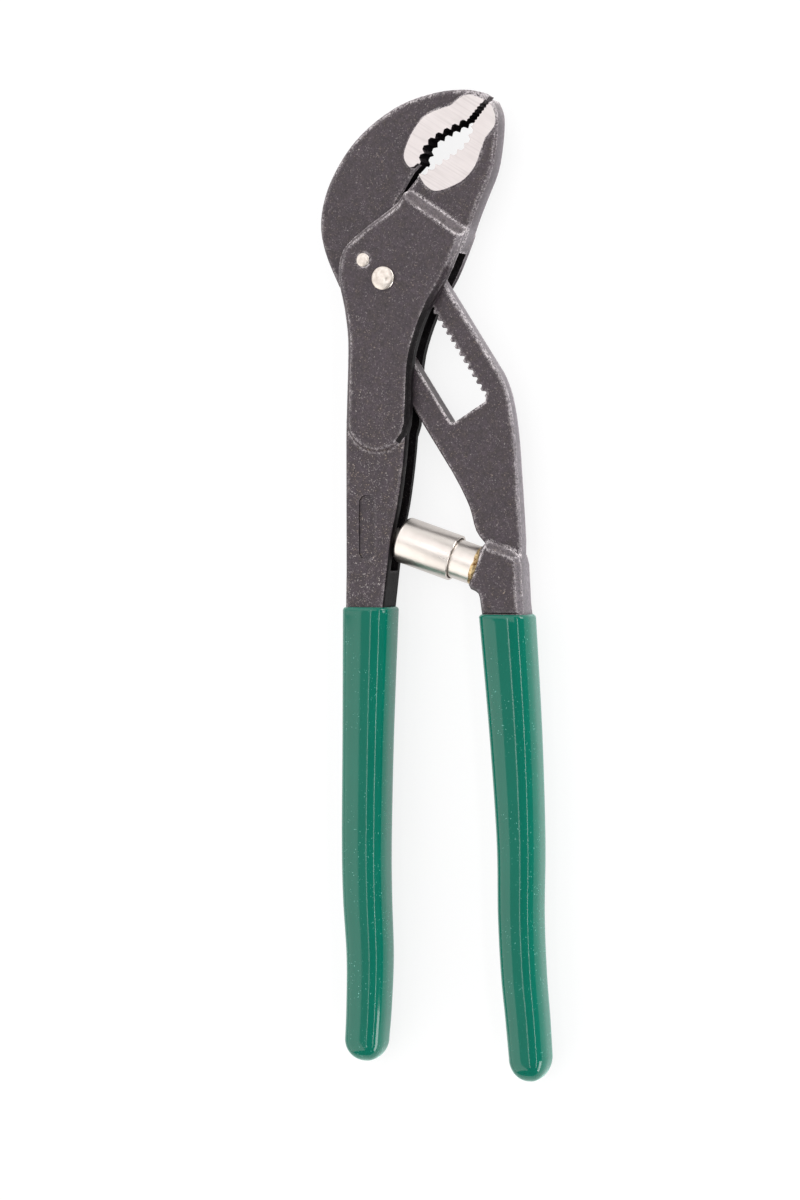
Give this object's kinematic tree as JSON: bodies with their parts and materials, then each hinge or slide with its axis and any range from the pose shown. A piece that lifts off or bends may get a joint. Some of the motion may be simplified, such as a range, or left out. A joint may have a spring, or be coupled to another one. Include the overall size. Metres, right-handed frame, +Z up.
{
  "type": "water pump pliers",
  "caption": "Self-adjusting water pump pliers: crescent jaws with curved toothed pads, a rack and pawl in a box joint, a spring strut between the handles and dipped vinyl grips.",
  "frame": {"origin": "on the pivot's axis, at the flat rear head of the pivot rivet, where the pliers lie on the table", "axes": "+X towards the jaw lever's handle, +Y along the pliers towards the jaws, +Z up from the table, along the pivot"},
  "size_m": [0.0603, 0.2475, 0.0139],
  "materials": {
    "black_oxide_steel": "black oxide over a forged surface, jaw pads ground bright",
    "plain_steel": "plain hardened steel, oiled",
    "bright_steel": "bright, lightly ground heads",
    "nickel_plate": "nickel plated",
    "green_vinyl": "glossy dipped vinyl"
  },
  "bodies": {
    "body": {"body_lever": "black_oxide_steel", "left_grip": "green_vinyl", "pivot_rivet": "bright_steel", "pivot_bush": "plain_steel", "stop_pin": "bright_steel"},
    "pawl": {"rack_pawl": "plain_steel"},
    "lever": {"jaw_lever": "black_oxide_steel", "right_grip": "green_vinyl", "strut_plunger": "nickel_plate", "strut_spring": "plain_steel"},
    "sleeve": {"strut_sleeve": "nickel_plate"}
  },
  "joints": [
    {"name": "handle_swing", "type": "hinge", "parent": "body", "child": "pawl", "pos_m": [0, 0, 0.0068], "axis": [0, 0, 1], "range_deg": [-0.54, 24.6]},
    {"name": "jaw_slide", "type": "slide", "parent": "pawl", "child": "lever", "axis": [-0.5402, 0.8415, 0], "range_m": [-0.00062, 0.02732]},
    {"name": "strut_stroke", "type": "slide", "parent": "lever", "child": "sleeve", "axis": [0.9472, -0.3206, 0], "range_m": [0, 0.003], "stiffness_N_per_m": 1500, "springref_m": -0.002, "deforming": ["strut_spring"]}
  ],
  "couplings": [
    {"joint": "jaw_slide", "follows": "handle_swing", "m_per_rad": 0.063584}
  ]
}
